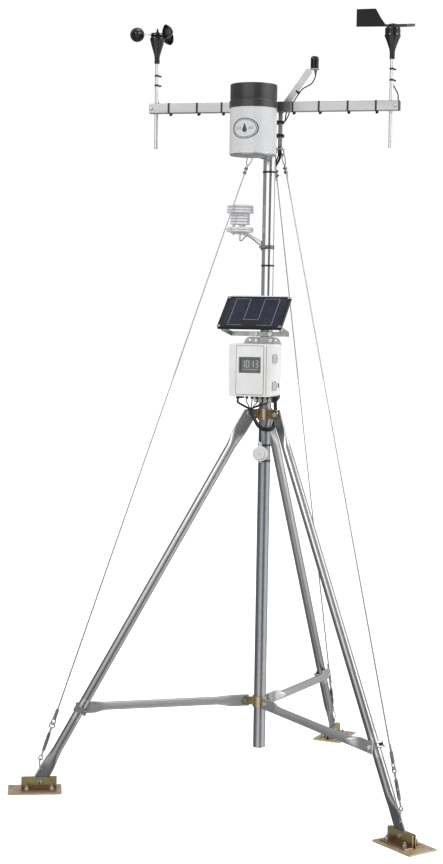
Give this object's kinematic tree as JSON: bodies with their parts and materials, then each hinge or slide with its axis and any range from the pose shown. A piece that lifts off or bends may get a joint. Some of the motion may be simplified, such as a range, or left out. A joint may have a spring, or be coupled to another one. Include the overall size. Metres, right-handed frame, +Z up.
{
  "type": "tripod weather station",
  "caption": "Folding steel tripod mast with a crossarm carrying wind speed and direction sensors, rain gauge, light sensor, radiation shield, solar panel and logger enclosure.",
  "frame": {"origin": "on the ground, under the middle of the outer box; the mast's axis stands at x 0.0728, y -0.1193", "axes": "+Z up along the mast, +X along the crossarm towards the wind direction sensor, -Y towards the side with the rain gauge and the enclosure door"},
  "size_m": [1.492, 1.4626, 2.6195],
  "materials": {
    "galvanised": "hot-dip galvanised, half gloss",
    "dull_steel": "galvanised, weathered",
    "zinc": "yellow zinc passivated, slightly iridescent",
    "aluminium": "satin",
    "bright_steel": "bright zinc and stainless",
    "black_plastic": "gloss",
    "dark_collar": "satin",
    "white_paint": "half gloss",
    "white_plastic": "satin",
    "ivory_plastic": "satin",
    "shield_plastic": "matte",
    "solar_cells": "gloss, dark frame",
    "logger": "matte",
    "cable": "matte"
  },
  "bodies": {
    "frame": {"mast_lower": "dull_steel", "mast_upper": "galvanised", "apex_collar": "zinc", "leg_bolt_left": "bright_steel", "leg_bolt_right": "bright_steel", "leg_bolt_rear": "bright_steel", "guy_ring": "bright_steel", "crossarm": "aluminium", "crossarm_clamp": "bright_steel", "anemometer_rod": "bright_steel", "anemometer_body": "black_plastic", "vane_rod": "bright_steel", "vane_body": "black_plastic", "gauge_housing": "white_paint", "gauge_funnel": "dark_collar", "gauge_base": "aluminium", "light_sensor": "black_plastic", "sensor_arm": "aluminium", "radiation_shield": "shield_plastic", "temperature_probe": "bright_steel", "shield_bracket": "aluminium", "panel_bracket": "bright_steel", "enclosure_case": "ivory_plastic", "mounting_plate": "aluminium", "logger_module": "logger", "battery_pack": "black_plastic", "mast_sensor": "ivory_plastic", "anemometer_cable": "cable", "vane_cable": "cable", "light_sensor_cable": "cable", "cable_harness": "cable"},
    "hub": {"hub_collar": "zinc"},
    "rotor": {"cup_rotor": "black_plastic"},
    "vane": {"wind_vane": "black_plastic"},
    "bucket": {"tipping_bucket": "white_plastic"},
    "panel": {"solar_panel": "solar_cells"},
    "door": {"enclosure_door": "ivory_plastic"},
    "latch_upper": {"latch_upper": "ivory_plastic"},
    "latch_lower": {"latch_lower": "ivory_plastic"},
    "leg_left": {"leg_left": "galvanised", "strut_clamp_left": "bright_steel"},
    "foot_left": {"foot_left": "zinc", "foot_bolt_left": "bright_steel"},
    "strut_left": {"strut_left": "galvanised"},
    "guy_left": {"guy_wire_left": "bright_steel", "turnbuckle_left": "bright_steel"},
    "leg_right": {"leg_right": "galvanised", "strut_clamp_right": "bright_steel"},
    "foot_right": {"foot_right": "zinc", "foot_bolt_right": "bright_steel"},
    "strut_right": {"strut_right": "galvanised"},
    "guy_right": {"guy_wire_right": "bright_steel", "turnbuckle_right": "bright_steel"},
    "leg_rear": {"leg_rear": "galvanised", "strut_clamp_rear": "bright_steel"},
    "foot_rear": {"foot_rear": "zinc", "foot_bolt_rear": "bright_steel"},
    "strut_rear": {"strut_rear": "galvanised"},
    "guy_rear": {"guy_wire_rear": "bright_steel", "turnbuckle_rear": "bright_steel"}
  },
  "joints": [
    {"name": "leg_left_fold", "type": "hinge", "parent": "frame", "child": "leg_left", "pos_m": [0.02399, -0.14612, 1.283], "axis": [0.342, -0.9397, 0], "range_deg": [0, 20]},
    {"name": "leg_right_fold", "type": "hinge", "parent": "frame", "child": "leg_right", "pos_m": [0.11906, -0.15021, 1.283], "axis": [0.6756, 0.7373, 0], "range_deg": [0, 20]},
    {"name": "leg_rear_fold", "type": "hinge", "parent": "frame", "child": "leg_rear", "pos_m": [0.07492, -0.06371, 1.283], "axis": [-0.9816, 0.1908, 0], "range_deg": [0, 20]},
    {"name": "hub_slide", "type": "slide", "parent": "frame", "child": "hub", "axis": [0, 0, 1], "range_m": [0, 0.3818]},
    {"name": "strut_left_fold", "type": "hinge", "parent": "hub", "child": "strut_left", "pos_m": [0.01733, -0.11321, 0.297], "axis": [0.342, -0.9397, 0], "range_deg": [0, 68.8]},
    {"name": "strut_right_fold", "type": "hinge", "parent": "hub", "child": "strut_right", "pos_m": [0.09294, -0.17131, 0.297], "axis": [0.6756, 0.7373, 0], "range_deg": [0, 68.8]},
    {"name": "strut_rear_fold", "type": "hinge", "parent": "hub", "child": "strut_rear", "pos_m": [0.10655, -0.07495, 0.297], "axis": [-0.9816, 0.1908, 0], "range_deg": [0, 68.8]},
    {"name": "foot_left_tilt", "type": "hinge", "parent": "leg_left", "child": "foot_left", "pos_m": [-0.6291, -0.38382, 0.03], "axis": [0.342, -0.9397, 0], "range_deg": [-30, 15]},
    {"name": "foot_right_tilt", "type": "hinge", "parent": "leg_right", "child": "foot_right", "pos_m": [0.63147, -0.61975, 0.03], "axis": [0.6756, 0.7373, 0], "range_deg": [-30, 15]},
    {"name": "foot_rear_tilt", "type": "hinge", "parent": "leg_rear", "child": "foot_rear", "pos_m": [0.20753, 0.61852, 0.03], "axis": [-0.9816, 0.1908, 0], "range_deg": [-30, 15]},
    {"name": "guy_left_swing", "type": "hinge", "parent": "frame", "child": "guy_left", "pos_m": [0.02117, -0.14715, 2.168], "axis": [0.342, -0.9397, 0], "range_deg": [-12, 0]},
    {"name": "guy_right_swing", "type": "hinge", "parent": "frame", "child": "guy_right", "pos_m": [0.12127, -0.15224, 2.168], "axis": [0.6756, 0.7373, 0], "range_deg": [-12, 0]},
    {"name": "guy_rear_swing", "type": "hinge", "parent": "frame", "child": "guy_rear", "pos_m": [0.07549, -0.06076, 2.168], "axis": [-0.9816, 0.1908, 0], "range_deg": [-12, 0]},
    {"name": "cup_spin", "type": "hinge", "parent": "frame", "child": "rotor", "pos_m": [-0.31323, -0.15652, 2.552], "axis": [0, 0, 1], "continuous": true},
    {"name": "vane_turn", "type": "hinge", "parent": "frame", "child": "vane", "pos_m": [0.48277, -0.15652, 2.56], "axis": [0, 0, 1], "continuous": true},
    {"name": "bucket_tip", "type": "hinge", "parent": "frame", "child": "bucket", "pos_m": [0.04577, -0.25932, 2.215], "axis": [0, -1, 0], "range_deg": [0, 24]},
    {"name": "panel_tilt", "type": "hinge", "parent": "frame", "child": "panel", "pos_m": [0.04745, -0.2481, 1.56989], "axis": [0.9962, -0.0872, 0], "range_deg": [-5, 34]},
    {"name": "door_open", "type": "hinge", "parent": "frame", "child": "door", "pos_m": [-0.02665, -0.22305, 1.433], "axis": [0, 0, -1], "range_deg": [0, 110]},
    {"name": "latch_upper_open", "type": "hinge", "parent": "door", "child": "latch_upper", "pos_m": [0.12604, -0.25046, 1.4715], "axis": [0, 0, -1], "range_deg": [0, 90]},
    {"name": "latch_lower_open", "type": "hinge", "parent": "door", "child": "latch_lower", "pos_m": [0.12604, -0.25046, 1.3815], "axis": [0, 0, -1], "range_deg": [0, 90]}
  ],
  "couplings": [
    {"joint": "leg_right_fold", "follows": "leg_left_fold", "ratio": 1},
    {"joint": "leg_rear_fold", "follows": "leg_left_fold", "ratio": 1},
    {"joint": "hub_slide", "follows": "leg_left_fold", "m_per_rad": 1.0923},
    {"joint": "strut_left_fold", "follows": "leg_left_fold", "ratio": 3.4333},
    {"joint": "strut_right_fold", "follows": "leg_left_fold", "ratio": 3.4333},
    {"joint": "strut_rear_fold", "follows": "leg_left_fold", "ratio": 3.4333}
  ]
}
